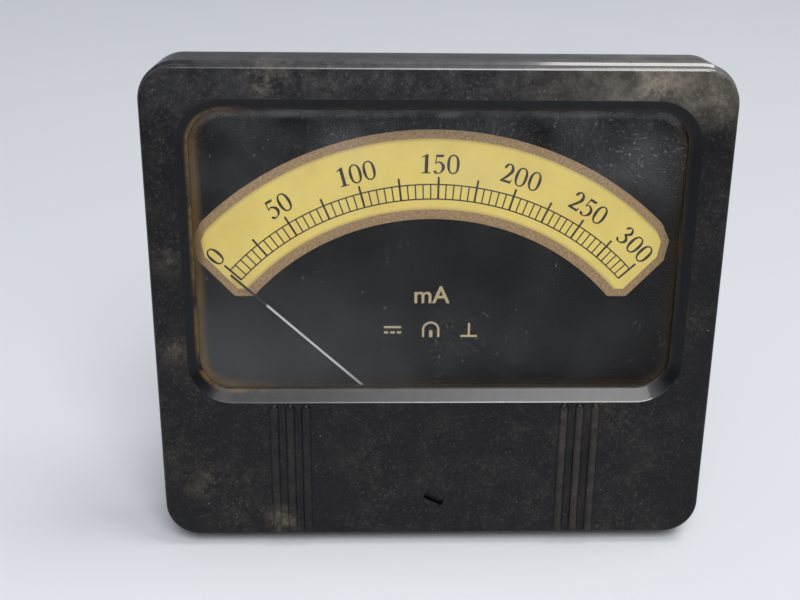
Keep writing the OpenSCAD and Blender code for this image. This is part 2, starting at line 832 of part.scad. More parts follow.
module pole_piece_right() {
    color("#777470") pole_piece(1);
}

module pole_screws() {
    color("#8b8780") for (p = pole_screw_places()) translate([p[0], 0, p[1]])
        screw(pole_screw_r, pole_head_r, plate_y1, pole_head_t, plate_t + pole_screw_l);
}

module core() {
    color("#6b6865") difference() {
        at_pivot() bar(core_r, core_y0, core_y1);
        translate([0, core_screw_y, pivot_z + core_r / 3]) cylinder(h = core_r, r = core_screw_r + slip);
    }
}

module core_bracket() {
    color("#b08d3c") difference() {
        translate([-bracket_w / 2, bracket_y0, pivot_z])
            cube([bracket_w, pole_l - bracket_y0, bracket_top - pivot_z]);
        at_pivot() bar(core_r, bracket_y0 - eps, pole_l + eps);
        translate([0, core_screw_y, pivot_z])
            cylinder(h = bracket_top - pivot_z + eps, r = core_screw_r + slip);
        bar(pole_screw_r + slip, pole_l - pole_screw_l - eps, pole_l + eps, 0, bracket_screw_z);
    }
}

module core_screw() {
    color("#8b8780") translate([0, core_screw_y, 0]) difference() {
        union() {
            translate([0, 0, pivot_z + core_r / 3 + eps])
                cylinder(h = bracket_top - pivot_z - core_r / 3, r = core_screw_r);
            translate([0, 0, bracket_top]) cylinder(h = core_head_t, r = bracket_w / 2);
        }
        translate([0, 0, bracket_top + core_head_t])
            cube([2 * bracket_w, core_screw_r / 2, core_head_t], center = true);
    }
}

module bridge_posts() {
    color("#b59a55") for (side = [-1, 1], y = [front_bridge_y1, plate_y1])
        translate([side * bridge_post_x, 0, pivot_z]) difference() {
            bar(bridge_post_r, y, y + bridge_post_l);
            bar(bridge_screw_r + slip, y - eps, y + bridge_post_l + eps);
        }
}

module bridge_screws() {
    long = bridge_t + bridge_post_l;
    color("#8b8780") for (side = [-1, 1]) translate([side * bridge_post_x, 0, pivot_z]) {
        screw(bridge_screw_r, bridge_head_r, front_bridge_y0, bridge_head_t, long + bridge_screw_l - eps, -1);
        screw(bridge_screw_r, bridge_head_r, rear_bridge_y1, bridge_head_t, long + plate_t);
    }
}

module bridge(y0) {
    at_pivot() slab(y0, y0 + bridge_t) difference() {
        union() {
            square([2 * bridge_post_x, bridge_h], center = true);
            for (side = [-1, 1]) translate([side * bridge_post_x, 0]) circle(bridge_h / 2);
        }
        circle(jewel_r + slip);
        for (side = [-1, 1]) translate([side * bridge_post_x, 0]) circle(bridge_screw_r + slip);
        children();
    }
}

module front_bridge() {
    color("#b3974e") bridge(front_bridge_y0);
}

module rear_bridge() {
    color("#b3974e") bridge(rear_bridge_y0) translate([abutment_x, 0]) circle(abutment_r + slip);
}

module jewel_screw(seat_y, inner_y, dir) {
    outer_y = seat_y + dir * jewel_out;
    bore_y = inner_y + dir * jewel_bore_l;
    difference() {
        bar(jewel_r, min(inner_y, outer_y), max(inner_y, outer_y));
        bar(pivot_r + run, min(inner_y - dir * eps, bore_y), max(inner_y - dir * eps, bore_y));
        translate([0, outer_y, 0]) cube([3 * jewel_r, 2 * jewel_slot_d, jewel_slot_w], center = true);
    }
}

module jewel_screws() {
    color("#c9b26a") at_pivot() {
        jewel_screw(front_bridge_y0, jewel_front_y, -1);
        jewel_screw(rear_bridge_y1, jewel_rear_y, 1);
    }
}

module jewel_nuts() {
    color("#c2a24c") at_pivot() for (y = [front_bridge_y0 - jewel_nut_t, rear_bridge_y1]) difference() {
        hex_bar(jewel_nut_af, y, y + jewel_nut_t);
        bar(jewel_r + slip, y - eps, y + jewel_nut_t + eps);
    }
}

// Rectangular loop round the core, seen along the coil's width
module loop(inner, outer, inner_y0, inner_y1, thick, width) {
    translate([0, 0, -width / 2]) linear_extrude(width) difference() {
        translate([-outer, inner_y0 - thick]) square([2 * outer, inner_y1 - inner_y0 + 2 * thick]);
        translate([-inner, inner_y0]) square([2 * inner, inner_y1 - inner_y0]);
    }
}

module coil_former() {
    color("#c6c7c9") moving()
        loop(former_in, former_out, former_y0 + former_t, former_y1 - former_t, former_t, former_w);
}

module coil() {
    color("#a4562a") moving() loop(former_out, coil_out, former_y0, former_y1, winding_t, coil_w);
}

module pivots() {
    color("#9c9fa3") at_pivot() {
        bar(pivot_r, jewel_front_y - jewel_bore_l + pivot_play, coil_y0);
        bar(pivot_r, coil_y1, jewel_rear_y + jewel_bore_l - pivot_play);
        bar(pivot_foot_r, coil_y1, coil_y1 + pivot_foot_t);
    }
}

module spring_collets() {
    color("#c2a24c") at_pivot() for (y = [front_spring_y, rear_spring_y]) difference() {
        bar(collet_r, y - (collet_l - spring_w) / 2, y + (collet_l + spring_w) / 2);
        bar(pivot_r + slip, y - collet_l, y + spring_w + collet_l);
    }
}

// Flat spiral of half circles, each a little larger than the last
module hairspring(y0) {
    at_pivot() for (i = [0:spring_halves - 1]) {
        r = spring_r + i * spring_pitch / 2;
        up = i % 2 == 0;
        translate([up ? 0 : spring_pitch / 2, 0, 0]) slab(y0, y0 + spring_w) intersection() {
            difference() {
                circle(r + spring_t / 2);
                circle(r - spring_t / 2);
            }
            translate([-2 * r, up ? 0 : -2 * r]) square([4 * r, 2 * r]);
        }
    }
}

module front_hairspring() {
    color("#b87333") hairspring(front_spring_y);
}

module rear_hairspring() {
    color("#b87333") hairspring(rear_spring_y);
}

module spring_abutment() {
    color("#b59a55") at_pivot() bar(abutment_r, rear_spring_y - abutment_over, rear_bridge_y1, abutment_x);
}

module balance_cross() {
    color("#c6c7c9") moving() difference() {
        union() {
            bar(cross_hub_r, cross_y0, coil_y0);
            slab(cross_y0, cross_y0 + cross_t) {
                translate([-cross_side, -cross_arm_w / 2]) square([2 * cross_side, cross_arm_w]);
                translate([-cross_arm_w / 2, -cross_tail]) square([cross_arm_w, cross_tail + cross_up]);
            }
        }
        bar(pivot_r + slip, cross_y0 - eps, coil_y0 + eps);
    }
}

// Weight threaded on an arm that points along +Z, with its outer end at reach
module weight(r, length, reach) {
    y_mid = cross_y0 + cross_t / 2;
    difference() {
        translate([0, y_mid, reach - weight_tip - length]) cylinder(h = length, r = r);
        translate([-cross_arm_w / 2 - slip / 2, y_mid - cross_t / 2 - slip / 2, 0])
            cube([cross_arm_w + slip, cross_t + slip, 2 * reach]);
    }
}

module balance_weights() {
    color("#b08d3c") moving() {
        for (turn = [-90, 90]) rotate([0, turn, 0]) weight(side_weight_r, side_weight_l, cross_side);
        rotate([0, 180, 0]) weight(tail_weight_r, tail_weight_l, cross_tail);
    }
}

// Cranked needle: a strip on the balance cross, a step forward through the dial's bite, then the needle
module pointer() {
    color("#d9d9d6") moving() {
        translate([-pointer_strip_w / 2, cross_y0 - needle_t, pointer_strip_in])
            cube([pointer_strip_w, needle_t, crank_orbit + crank_half - pointer_strip_in]);
        translate([-crank_half, needle_y0, crank_orbit - crank_half])
            cube([2 * crank_half, cross_y0 - needle_y0, 2 * crank_half]);
        translate([-needle_w / 2, needle_y0, crank_orbit - crank_half])
            cube([needle_w, needle_t, pointer_l - crank_orbit + crank_half]);
    }
}

front_cover();
glass_gasket();
window_glass();
glass_retainer();
retainer_screws();
zero_adjuster();
adjuster_washer();
zero_lever();
base();
case_screws();
mounting_studs();
terminal_studs();
terminal_nuts();
terminal_washers();
shunt();
lead_wires();
dial_plate();
dial_posts();
dial_screws();
pointer_stops();
movement_plate();
movement_screws();
magnet();
pole_piece_left();
pole_piece_right();
pole_screws();
core();
core_bracket();
core_screw();
bridge_posts();
bridge_screws();
front_bridge();
rear_bridge();
jewel_screws();
jewel_nuts();
coil_former();
coil();
pivots();
spring_collets();
front_hairspring();
rear_hairspring();
spring_abutment();
balance_cross();
balance_weights();
pointer();
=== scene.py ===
from math import atan2, pi, radians

import bmesh
import bpy
from mathutils import Matrix, Vector


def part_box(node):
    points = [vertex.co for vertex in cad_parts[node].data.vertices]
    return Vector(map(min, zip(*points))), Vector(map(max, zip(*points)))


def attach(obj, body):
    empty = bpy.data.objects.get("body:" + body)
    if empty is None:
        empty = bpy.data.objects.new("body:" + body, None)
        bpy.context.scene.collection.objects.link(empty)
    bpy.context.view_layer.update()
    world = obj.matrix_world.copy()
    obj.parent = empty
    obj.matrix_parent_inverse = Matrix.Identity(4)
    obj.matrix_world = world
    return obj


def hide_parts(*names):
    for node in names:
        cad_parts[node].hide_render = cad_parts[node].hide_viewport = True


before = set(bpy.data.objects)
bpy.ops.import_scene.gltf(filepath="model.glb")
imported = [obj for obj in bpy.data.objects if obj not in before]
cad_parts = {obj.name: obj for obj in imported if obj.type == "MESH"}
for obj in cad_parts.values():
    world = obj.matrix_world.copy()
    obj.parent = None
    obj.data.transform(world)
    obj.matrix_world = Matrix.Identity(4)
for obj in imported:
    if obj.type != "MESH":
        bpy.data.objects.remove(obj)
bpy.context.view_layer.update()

mm = 0.001

# Camera
# It stands above the face and a little to its left, and looks down on it at about 21 degrees.
# The focal length and the shift are given in pixels of an 800 pixel wide frame.
frame_width_pixels = 800
focal_pixels = 1189
shift_right_pixels = -13
shift_up_pixels = 30
eye = Vector((-12.5, -240.9, 94.9)) * mm
look_right = radians(1.95)
look_down = radians(20.96)
roll = radians(0.65)
camera_data = bpy.data.cameras.new("camera")
camera_data.sensor_width = 36
camera_data.lens = camera_data.sensor_width * focal_pixels / frame_width_pixels
camera_data.shift_x = shift_right_pixels / frame_width_pixels
camera_data.shift_y = shift_up_pixels / frame_width_pixels
camera = bpy.data.objects.new("camera", camera_data)
camera.matrix_world = (
    Matrix.Translation(eye)
    @ Matrix.Rotation(-look_right, 4, "Z")
    @ Matrix.Rotation(pi / 2 - look_down, 4, "X")
    @ Matrix.Rotation(roll, 4, "Z")
)
bpy.context.scene.collection.objects.link(camera)
bpy.context.scene.camera = camera

# Floor and light
# A plain pale table top under the meter, with soft light from a large lamp in front and above,
# a weaker one over the right side, and an even pale sky.
bpy.context.scene.view_settings.view_transform = "Standard"


class Wire:
    """One shader value. Sums and products of wires add Math nodes to the same material."""

    def __init__(self, tree, socket=None):
        self.tree = tree
        self.socket = socket

    def node(self, kind, settings, values, out=0):
        """Adds any node: its settings first, then the values or links of its sockets."""
        made = self.tree.nodes.new(kind)
        for key, value in settings.items():
            setattr(made, key, value)
        for key, value in values.items():
            if isinstance(value, Wire):
                self.tree.links.new(value.socket, made.inputs[key])
            else:
                made.inputs[key].default_value = value
        return Wire(self.tree, made.outputs[out])

    def math(self, operation, *others):
        return self.node("ShaderNodeMath", {"operation": operation}, dict(enumerate((self, *others))))

    def __add__(self, other):
        return self.math("ADD", other)

    def __sub__(self, other):
        return self.math("SUBTRACT", other)

    def __rsub__(self, other):
        return self.node("ShaderNodeMath", {"operation": "SUBTRACT"}, {0: other, 1: self})

    def __mul__(self, other):
        return self.math("MULTIPLY", other)

    __radd__ = __add__

    def span(self, low, high):
        """0 at low, 1 at high and smooth between; low may be the larger of the two."""
        values = {"Value": self, "From Min": low, "From Max": high}
        return self.node("ShaderNodeMapRange", {"interpolation_type": "SMOOTHSTEP"}, values)

    def part(self, axis):
        return self.node("ShaderNodeSeparateXYZ", {}, {"Vector": self}, axis)

    def distance(self, x, z):
        """Distance from the line along Y through that point."""
        off_x = self.part("X") - x
        off_z = self.part("Z") - z
        return (off_x * off_x + off_z * off_z).math("SQRT")

    def stretched(self, x, y, z):
        return self.node("ShaderNodeVectorMath", {"operation": "MULTIPLY"}, {0: self, 1: (x, y, z)})

    def noise(self, grain, detail=2.0, rough=0.5):
        """Cloudy pattern whose patches are about as wide as the grain."""
        values = {"Vector": self, "Scale": 1 / grain, "Detail": detail, "Roughness": rough}
        return self.node("ShaderNodeTexNoise", {}, values)

    def tint(self, under, over):
        """Colour under where this mask is 0, and over where it is 1."""
        return self.node("ShaderNodeMix", {"data_type": "RGBA"}, {0: self, 6: under, 7: over}, 2)

    def specks(self, cell, share):
        """Scattered grains: at most one in each cell, and only in that share of the cells."""
        largest = 0.12
        blur = 0.05
        grain = self.node("ShaderNodeTexVoronoi", {}, {"Vector": self, "Scale": 1 / cell}, "Distance")
        chance = Wire(self.tree, grain.socket.node.outputs["Color"]).part("X")
        size = (1 - (1 - chance).math("DIVIDE", share)) * largest
        return (size - grain).span(0.0, blur)

    def bump(self, strength, distance):
        values = {"Strength": strength, "Distance": distance, "Height": self}
        return self.node("ShaderNodeBump", {}, values)


def finish(name, look):
    """Material whose look takes the Object coordinates and returns the shader's inputs."""
    made = bpy.data.materials.new(name)
    made.use_nodes = True
    at = Wire(made.node_tree).node("ShaderNodeTexCoord", {}, {}, "Object")
    shader = made.node_tree.nodes["Principled BSDF"]
    for key, value in look(at).items():
        if isinstance(value, Wire):
            made.node_tree.links.new(value.socket, shader.inputs[key])
        else:
            shader.inputs[key].default_value = value
    return made


def colour(red, green, blue):
    """Opaque colour from the screen's 0 to 255 levels."""
    def linear(level):
        share = level / 255
        return share / 12.92 if share <= 0.04045 else ((share + 0.055) / 1.055) ** 2.4
    return linear(red), linear(green), linear(blue), 1.0


def add_piece(name, mesh, material):
    piece = bpy.data.objects.new(name, mesh)
    mesh.materials.clear()
    mesh.materials.append(material)
    bpy.context.scene.collection.objects.link(piece)
    return piece


def mesh_of(name, shape):
    """Mesh from a bmesh, with its normals pointing outwards."""
    bmesh.ops.recalc_face_normals(shape, faces=shape.faces)
    mesh = bpy.data.meshes.new(name)
    shape.to_mesh(mesh)
    shape.free()
    return mesh


def table_top(at):
    cloud = at.noise(120 * mm, 3.0)
    return {
        "Base Color": cloud.tint(colour(226, 230, 236), colour(232, 235, 241)),
        "Roughness": 0.6,
        "Normal": at.noise(0.8 * mm).bump(0.05, 0.2 * mm),
    }


# The meter leans back on the lower edge of its cover and the end of its barrel.
floor_half = 2.5
barrel_radius = 34.9 * mm
edge_low, edge_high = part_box("front_cover")
barrel_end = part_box("base")[1].y
lean = atan2(-barrel_radius - edge_low.z, barrel_end - edge_high.y)
floor_shape = bmesh.new()
bmesh.ops.create_grid(
    floor_shape, x_segments=1, y_segments=1, size=floor_half,
    matrix=Matrix.Translation((0, edge_high.y, edge_low.z)) @ Matrix.Rotation(lean, 4, "X"),
)
floor = add_piece("floor", mesh_of("floor", floor_shape), finish("table_top", table_top))

sky_strength = 0.26
sky = bpy.data.worlds.new("sky")
sky.use_nodes = True
sky.node_tree.nodes["Background"].inputs["Color"].default_value = colour(226, 235, 246)
sky.node_tree.nodes["Background"].inputs["Strength"].default_value = sky_strength
bpy.context.scene.world = sky


def soft_lamp(name, place, width, power, tone):
    lamp_data = bpy.data.lights.new(name, "AREA")
    lamp_data.size = width
    lamp_data.energy = power
    lamp_data.color = tone
    lamp = bpy.data.objects.new(name, lamp_data)
    lamp.location = place
    lamp.rotation_euler = (-Vector(place)).to_track_quat("-Z", "Y").to_euler()
    bpy.context.scene.collection.objects.link(lamp)


soft_lamp("front_lamp", (0.15, -1.15, 1.15), 1.0, 19, (1.0, 0.99, 0.97))
soft_lamp("top_lamp", (0.6, -0.15, 1.5), 0.7, 9, (1.0, 0.98, 0.95))

# Base
# The rear half of the case: a flange that closes the cover and a round barrel behind the panel,
# moulded in one piece from black phenolic resin with a dull, slightly grainy surface.
dust = colour(138, 128, 112)


def smooth_copy(node, material):
    """Copy of a CAD node whose triangles are joined and whose rounded faces are shaded smooth."""
    shape = bmesh.new()
    shape.from_mesh(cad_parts[node].data)
    bmesh.ops.remove_doubles(shape, verts=shape.verts, dist=1e-6)
    bmesh.ops.dissolve_limit(shape, angle_limit=radians(0.5), verts=shape.verts, edges=shape.edges)
    mesh = mesh_of(node + "_skin", shape)
    mesh.attributes.remove(mesh.attributes["custom_normal"])
    mesh.shade_smooth()
    mesh.set_sharp_from_angle(angle=radians(32))
    piece = add_piece(node + "_skin", mesh, material)
    flat_faces = piece.modifiers.new("flat_faces", "WEIGHTED_NORMAL")
    flat_faces.keep_sharp = True
    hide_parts(node)
    return piece


def base_moulding(at):
    grain = at.noise(0.9 * mm, 3.0)
    film = at.noise(20 * mm, 4.0).span(0.4, 0.75) * at.noise(3 * mm, 5.0, 0.7).span(0.3, 0.8)
    loose = film * 0.3 + at.specks(3 * mm, 0.2) * 0.4
    return {
        "Base Color": loose.tint(colour(24, 23, 22), dust),
        "Roughness": 0.42 + loose * 0.5,
        "Normal": grain.bump(0.12, 0.2 * mm),
    }


base = smooth_copy("base", finish("base_moulding", base_moulding))
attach(base, "case")

# Mounting studs
# Four brass studs moulded into the flange, which go through the panel. Each has a round head inside
# the case, a thicker neck in the flange and a rolled thread with a chamfered end.
stud_radius = 2.05 * mm
stud_pitch = 0.8 * mm
stud_head_radius = 4 * mm
stud_neck_radius = 2.45 * mm
stud_chamfer = 0.3 * mm
flange_depth = 3 * mm
thread_margin = 0.2 * mm
crease = radians(40)


def metal(name, tone, tarnish, rough, lay=(1, 1, 1)):
    """Metal with fine tool marks, stretched by the lay, and cloudy tarnish."""
    def look(at):
        marks = at.stretched(*lay).noise(0.5 * mm, 3.0)
        cloud = at.noise(5 * mm, 4.0, 0.65).span(0.45, 0.75)
        return {
            "Base Color": cloud.tint(tone, tarnish),
            "Metallic": 1.0,
            "Roughness": rough + marks * 0.12 + cloud * 0.2,
            "Normal": marks.bump(0.15, 0.05 * mm),
        }
    return finish(name, look)


def dress(material, *nodes):
    """Gives CAD nodes that stay in view their finished material."""
    for node in nodes:
        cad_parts[node].material_slots[0].material = material


def turned(shape, profile, place):
    """Closed solid turned about Y from a line of (radius, depth) points that starts and ends on the axis."""
    line = [shape.verts.new((radius, depth, 0)) for radius, depth in profile]
    edges = [shape.edges.new(pair) for pair in zip(line, line[1:])]
    before = set(shape.verts) - set(line)
    bmesh.ops.spin(
        shape, geom=line + edges, axis=(0, 1, 0), cent=(0, 0, 0), dvec=(0, 0, 0),
        angle=2 * pi, steps=32, use_merge=True,
    )
    made = [vert for vert in shape.verts if vert not in before]
    bmesh.ops.remove_doubles(shape, verts=made, dist=1e-7)
    made = [vert for vert in shape.verts if vert not in before]
    bmesh.ops.translate(shape, verts=made, vec=place)


def thread(shape, radius, pitch, start, end, place):
    """Ridge wound round a core: a triangle swept along Y, with its top at the thread's radius."""
    before = set(shape.verts)
    ridge_height = 0.55 * pitch
    ridge_width = 0.95 * pitch
    root = radius - ridge_height
    corners = [
        shape.verts.new((root, start, 0)),
        shape.verts.new((radius, start + pitch / 2, 0)),
        shape.verts.new((root, start + ridge_width, 0)),
    ]
    section = shape.faces.new(corners)
    turns = (end - start) / pitch - 1
    steps_per_turn = 24
    steps = round(turns * steps_per_turn)
    bmesh.ops.spin(
        shape, geom=[section, *section.edges, *section.verts], axis=(0, 1, 0), cent=(0, 0, 0),
        dvec=(0, pitch / steps_per_turn, 0), angle=2 * pi * steps / steps_per_turn, steps=steps,
    )
    made = [vert for vert in shape.verts if vert not in before]
    bmesh.ops.translate(shape, verts=made, vec=place)


stud_low, stud_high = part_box("mounting_studs")
stud_reach_x = stud_high.x - stud_head_radius
stud_reach_z = stud_high.z - stud_head_radius
stud_core = stud_radius - stud_pitch / 2
stud_profile = [
    (0, stud_low.y),
    (stud_head_radius, stud_low.y),
    (stud_head_radius, -flange_depth),
    (stud_neck_radius, -flange_depth),
    (stud_neck_radius, 0),
    (stud_core, 0),
    (stud_core, stud_high.y - stud_chamfer),
    (stud_core - stud_chamfer, stud_high.y),
    (0, stud_high.y),
]
stud_shape = bmesh.new()
for side_x in (-1, 1):
    for side_z in (-1, 1):
        stud_place = (side_x * stud_reach_x, 0, side_z * stud_reach_z)
        turned(stud_shape, stud_profile, stud_place)
        thread(
            stud_shape, stud_radius, stud_pitch,
            thread_margin / 2, stud_high.y - thread_margin, stud_place,
        )
plain_brass = metal("plain_brass", colour(192, 164, 104), colour(122, 99, 62), 0.3)
studs_mesh = mesh_of("threaded_studs", stud_shape)
studs_mesh.shade_smooth()
studs_mesh.set_sharp_from_angle(angle=crease)
studs = add_piece("threaded_studs", studs_mesh, plain_brass)
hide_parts("mounting_studs")
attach(studs, "case")

# Terminals
# Two threaded brass studs in the end of the barrel, each held by hexagon nuts and washers.
# The outer pair of nuts clamps the wire of the circuit.
terminal_radius = 3 * mm
terminal_pitch = 0.9 * mm
terminal_inner_chamfer = 0.3 * mm
terminal_outer_chamfer = 0.4 * mm
terminal_low, terminal_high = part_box("terminal_studs")
terminal_core = terminal_radius - terminal_pitch / 2
terminal_profile = [
    (0, terminal_low.y),
    (terminal_core - terminal_inner_chamfer, terminal_low.y),
    (terminal_core, terminal_low.y + terminal_inner_chamfer),
    (terminal_core, terminal_high.y - terminal_outer_chamfer),
    (terminal_core - terminal_outer_chamfer, terminal_high.y),
    (0, terminal_high.y),
]
terminal_shape = bmesh.new()
for side in (-1, 1):
    terminal_place = (side * (terminal_high.x - terminal_radius), 0, 0)
    turned(terminal_shape, terminal_profile, terminal_place)
    thread(
        terminal_shape, terminal_radius, terminal_pitch,
        terminal_low.y + thread_margin, terminal_high.y - thread_margin, terminal_place,
    )
terminal_mesh = mesh_of("threaded_terminals", terminal_shape)
terminal_mesh.shade_smooth()
terminal_mesh.set_sharp_from_angle(angle=crease)
terminals = add_piece("threaded_terminals", terminal_mesh, plain_brass)
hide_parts("terminal_studs")
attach(terminals, "case")
nut_brass = metal("nut_brass", colour(201, 175, 112), colour(134, 106, 64), 0.26)
dress(nut_brass, "terminal_nuts", "terminal_washers")

# Shunt and leads
# A strip of resistance alloy joins the terminals inside the barrel, and two cotton-covered wires
# take its small voltage to the springs of the coil.
strip_alloy = metal("strip_alloy", colour(176, 133, 103), colour(112, 78, 58), 0.34, (1, 8, 8))


def wire_cotton(at):
    weave = at.stretched(1, 1.6, 1).noise(0.35 * mm, 1.0)
    return {
        "Base Color": weave.span(0.35, 0.65).tint(colour(96, 34, 26), colour(142, 62, 44)),
        "Roughness": 0.85,
        "Normal": weave.bump(0.5, 0.1 * mm),
    }


dress(strip_alloy, "shunt")
dress(finish("wire_cotton", wire_cotton), "lead_wires")

# Magnet system
# A horseshoe of dark magnet steel on a brass plate, with two soft-iron pole pieces and an iron core
# between them on a brass bracket.
dark_steel = metal("dark_steel", colour(84, 82, 84), colour(58, 50, 46), 0.42)
soft_iron = metal("soft_iron", colour(146, 143, 138), colour(104, 88, 72), 0.38, (1, 6, 1))
plate_brass = metal("plate_brass", colour(186, 157, 96), colour(118, 92, 58), 0.36, (6, 1, 1))
screw_steel = metal("screw_steel", colour(168, 168, 166), colour(118, 108, 98), 0.3)
dress(dark_steel, "magnet")
dress(soft_iron, "pole_piece_left", "pole_piece_right", "core")
dress(plate_brass, "movement_plate", "core_bracket")
dress(screw_steel, "movement_screws", "pole_screws", "core_screw")

# Bridges
# Two thin brass bridges on posts carry the jewel screws, in which the coil's pivots turn.
dress(plate_brass, "front_bridge", "rear_bridge", "bridge_posts", "spring_abutment")
dress(nut_brass, "jewel_screws", "jewel_nuts")
dress(screw_steel, "bridge_screws")

# Moving coil
# A light alloy frame wound with enamelled copper wire, on two hard steel pivots. Brass collets hold
# the inner ends of the flat bronze springs, and small weights on a cross balance the pointer.
light_alloy = metal("light_alloy", colour(202, 203, 204), colour(158, 158, 158), 0.32)
spring_bronze = metal("spring_bronze", colour(188, 140, 88), colour(140, 96, 58), 0.28)
wire_pitch = 2.2 * mm


def coil_winding(at):
    values = {"Vector": at, "Scale": 1 / wire_pitch, "Distortion": 0.3}
    turns = at.node("ShaderNodeTexWave", {"bands_direction": "Y"}, values)
    return {
        "Base Color": turns.tint(colour(92, 44, 22), colour(170, 94, 52)),
        "Metallic": 0.6,
        "Roughness": 0.35 + at.noise(2 * mm) * 0.2,
        "Normal": turns.bump(0.5, 0.08 * mm),
    }


dress(light_alloy, "coil_former", "balance_cross")
dress(finish("coil_winding", coil_winding), "coil")
dress(screw_steel, "pivots")
dress(nut_brass, "spring_collets", "balance_weights")
dress(spring_bronze, "front_hairspring", "rear_hairspring")
dress(plate_brass, "zero_lever")

# Dial plate
# A flat steel plate with satin black paint on four posts, cut away round the pivot. Its paint has
# fine grain and scattered dust. Two wire stops limit the pointer.
dial_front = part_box("dial_plate")[0].y
core_low, core_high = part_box("core")
pivot = (core_low + core_high) / 2


def dial_paint(at):
    cloud = at.noise(14 * mm, 4.0, 0.6).span(0.35, 0.75)
    grit = at.noise(0.7 * mm, 3.0, 0.75).span(0.54, 0.8)
    upper_right = at.part("Z").span(30 * mm, 46 * mm) * at.part("X").span(-30 * mm, 40 * mm)
    loose = grit * (cloud * 0.4 + upper_right * 0.6 + 0.15) + at.specks(1.2 * mm, 0.4) * 0.9
    return {
        "Base Color": loose.tint(colour(8, 7, 10), colour(160, 144, 122)),
        "Roughness": 0.5 + loose * 0.3,
        "Specular IOR Level": 0.12,
        "Normal": at.noise(2 * mm, 2.0).bump(0.02, 0.05 * mm),
    }


black_screw = metal("black_screw", colour(46, 44, 43), colour(74, 62, 50), 0.4)
dress(finish("dial_paint", dial_paint), "dial_plate")
dress(plate_brass, "dial_posts")
dress(black_screw, "dial_screws")
dress(screw_steel, "pointer_stops")

# Dial print
# The scale is printed on the plate: a yellow band in a brown border, with 61 marks from 0 to 300,
# a double ring line and serif figures. The unit and three small signs are printed in cream.
print_centre = pivot + Vector((-0.87, 0, 0.99)) * mm
dial_place = (
    Matrix.Translation((print_centre.x, dial_front, print_centre.z)) @ Matrix.Rotation(radians(90), 4, "X")
)
# How deep the ink starts under the paint, and how far each layer of it stands out.
sink = 0.01 * mm
border_height = 0.03 * mm
band_height = 0.05 * mm
ring_height = 0.07 * mm
mark_height = 0.08 * mm
cream_height = 0.05 * mm
scale_marks = 60
marks_per_major = 5
marks_per_number = 10
number_step = 50
border_outer = 67.1 * mm
border_inner = 48.9 * mm
band_outer = 65.3 * mm
band_inner = 50.9 * mm
band_inset = 1.6 * mm
ring_outer = 56.05 * mm
ring_inner = 53.05 * mm
major_outer = 57.6 * mm
# The band's end on the right: points on its edge, and the directions out of it there.
band_end = [
    ((46.6, 48.6), (4.2, 2.0)),
    ((48.6, 44.4), (4.1, -0.8)),
    ((47.9, 40.3), (7.9, -7.4)),
    ((40.5, 32.4), (0.0, -1.0)),
]


def mark_angle(mark):
    """Angle of a mark to the right of the vertical. The hand-drawn scale is a little uneven."""
    share = 2 * mark / scale_marks - 1
    return radians(1.1 + 47.89 * share - 1.38 * share**2 - 0.78 * share**3)


def sector(shape, inner, outer, left, right):
    """Flat part of a ring about the print's centre, between two angles to the right of the vertical."""
    first = Matrix.Rotation(-left, 4, "Z")
    ends = [shape.verts.new(first @ Vector((0, radius, 0))) for radius in (inner, outer)]
    side = shape.edges.new(ends)
    bmesh.ops.spin(
        shape, geom=[*ends, side], axis=(0, 0, 1), cent=(0, 0, 0), dvec=(0, 0, 0),
        angle=left - right, steps=96,
    )


def print_piece(name, shape, material):
    piece = add_piece(name, mesh_of(name, shape), material)
    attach(piece, "case")


def printed(name, shape, height, material):
    """Thin solid of ink from flat faces: it starts just under the paint and stands that high on it."""
    grown = bmesh.ops.extrude_face_region(shape, geom=shape.faces[:])["geom"]
    tops = [item for item in grown if isinstance(item, bmesh.types.BMVert)]
    bmesh.ops.translate(shape, verts=tops, vec=(0, 0, height + sink))
    bmesh.ops.translate(shape, verts=shape.verts, vec=(0, 0, -sink))
    bmesh.ops.transform(shape, matrix=dial_place, verts=shape.verts)
    print_piece(name, shape, material)


def band(name, inner, outer, inset, height, material):
    """Sector whose ends are cut off along the edges of the band's end, moved in by the inset."""
    shape = bmesh.new()
    sector(shape, inner, outer, radians(-60), radians(60))
    for side in (-1, 1):
        for (x, y), (out_x, out_y) in band_end:
            out = Vector((side * out_x, out_y, 0)).normalized()
            bmesh.ops.bisect_plane(
                shape, geom=shape.verts[:] + shape.edges[:] + shape.faces[:], dist=1e-7,
                plane_co=Vector((side * x, y, 0)) * mm - out * inset, plane_no=out, clear_outer=True,
            )
    printed(name, shape, height, material)


def border_ink(at):
    stipple = at.noise(0.5 * mm, 3.0, 0.7)
    return {
        "Base Color": stipple.span(0.3, 0.75).tint(colour(136, 110, 84), colour(194, 160, 110)),
        "Roughness": 0.6,
        "Normal": stipple.bump(0.1, 0.03 * mm),
    }


def band_ink(at):
    radius = at.distance(print_centre.x, print_centre.z)
    shade = radius.span(band_outer - 0.8 * mm, band_outer) + radius.span(band_inner + 0.8 * mm, band_inner)
    stain = at.noise(9 * mm, 4.0, 0.6).span(0.42, 0.75) * 0.35
    mottled = at.noise(0.9 * mm, 3.0, 0.6).span(0.3, 0.8) * 0.12
    spots = at.specks(5 * mm, 0.2) * 0.3
    yellow = mottled.tint(colour(246, 221, 120), colour(249, 234, 156))
    aged = (stain + spots).tint(yellow, colour(222, 186, 98))
    return {
        "Base Color": (shade * 0.5).tint(aged, colour(176, 148, 100)),
        "Roughness": 0.55 + stain * 0.3,
        "Normal": at.noise(0.4 * mm).bump(0.08, 0.03 * mm),
    }


band("dial_border", border_inner, border_outer, 0, border_height, finish("border_ink", border_ink))
band("dial_band", band_inner, band_outer, band_inset, band_height, finish("band_ink", band_ink))


